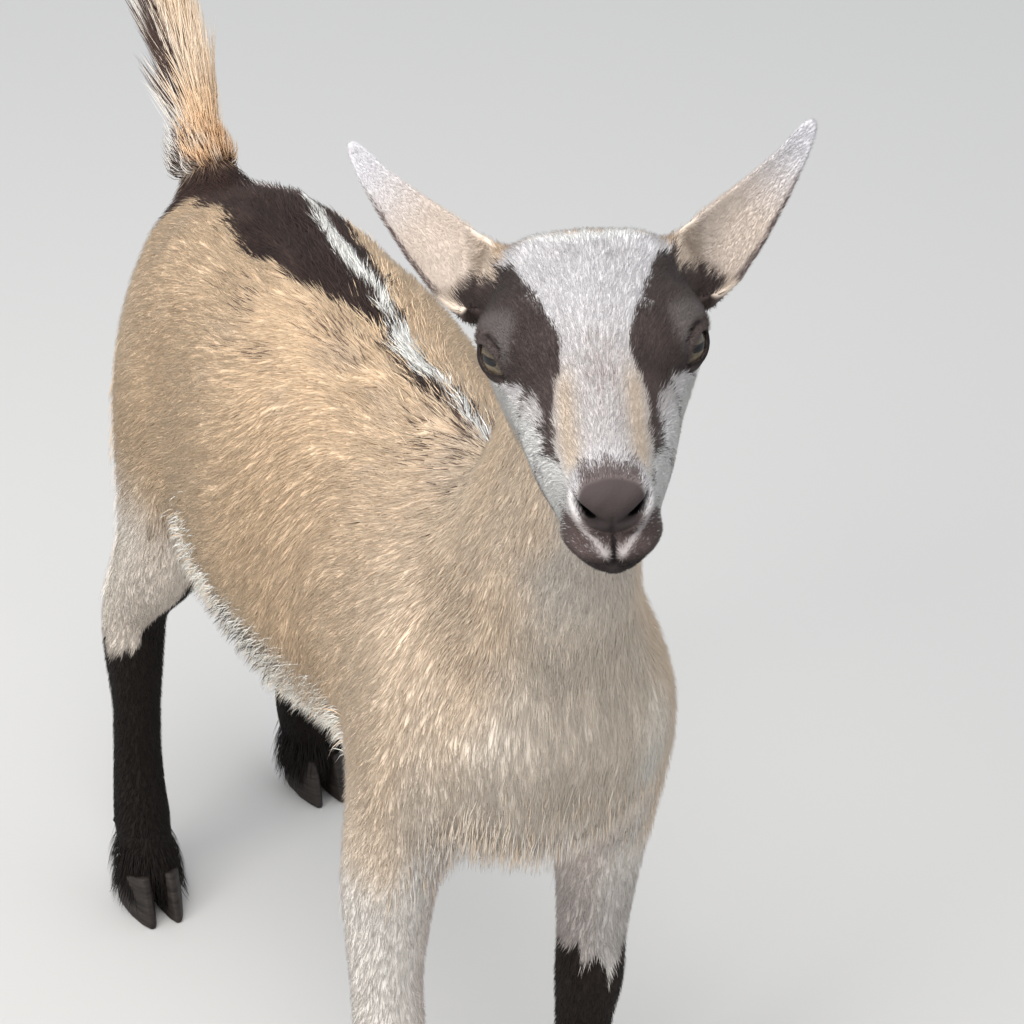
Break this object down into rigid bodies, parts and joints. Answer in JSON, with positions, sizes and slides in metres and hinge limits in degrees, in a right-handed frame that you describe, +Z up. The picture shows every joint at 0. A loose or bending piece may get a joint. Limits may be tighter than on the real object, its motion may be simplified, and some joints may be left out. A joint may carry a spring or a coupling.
{
  "type": "alpine goat, life-size still model",
  "caption": "Young hornless alpine goat, life size, standing on its own hooves with its head turned, ears back and tail raised.",
  "frame": {"origin": "on the floor, under the middle of the goat's box", "axes": "the goat faces -Y, its left side is +X and +Z is up"},
  "size_m": [0.2454, 0.8882, 0.7951],
  "materials": {
    "coat_body": "short fawn hair with a dark saddle and a pale streak along the spine",
    "coat_neck": "short cream hair, paler in front",
    "coat_head": "short grey-white hair with dark brown eye patches and a dark nose pad",
    "coat_ears": "fine pale hair over pink skin, dark lower rim",
    "coat_tail": "long soft hair, tan above, white and grey below",
    "coat_forelegs": "short white and cream hair, both legs black-brown lower down, the left from the knee",
    "coat_hindlegs": "short black-brown hair",
    "eyes": "glossy, pale amber with a level slot pupil",
    "hooves": "dark horn with fine growth lines"
  },
  "bodies": {
    "root": {"torso": "coat_body", "neck": "coat_neck", "head": "coat_head", "ear_left": "coat_ears", "ear_right": "coat_ears", "eye_left": "eyes", "eye_right": "eyes", "tail": "coat_tail", "leg_front_left": "coat_forelegs", "leg_front_right": "coat_forelegs", "leg_hind_left": "coat_hindlegs", "leg_hind_right": "coat_hindlegs", "claw_front_left_outer": "hooves", "claw_front_left_inner": "hooves", "claw_front_right_outer": "hooves", "claw_front_right_inner": "hooves", "claw_hind_left_outer": "hooves", "claw_hind_left_inner": "hooves", "claw_hind_right_outer": "hooves", "claw_hind_right_inner": "hooves", "dewclaw_front_left_outer": "hooves", "dewclaw_front_left_inner": "hooves", "dewclaw_front_right_outer": "hooves", "dewclaw_front_right_inner": "hooves", "dewclaw_hind_left_outer": "hooves", "dewclaw_hind_left_inner": "hooves", "dewclaw_hind_right_outer": "hooves", "dewclaw_hind_right_inner": "hooves"}
  },
  "joints": []
}
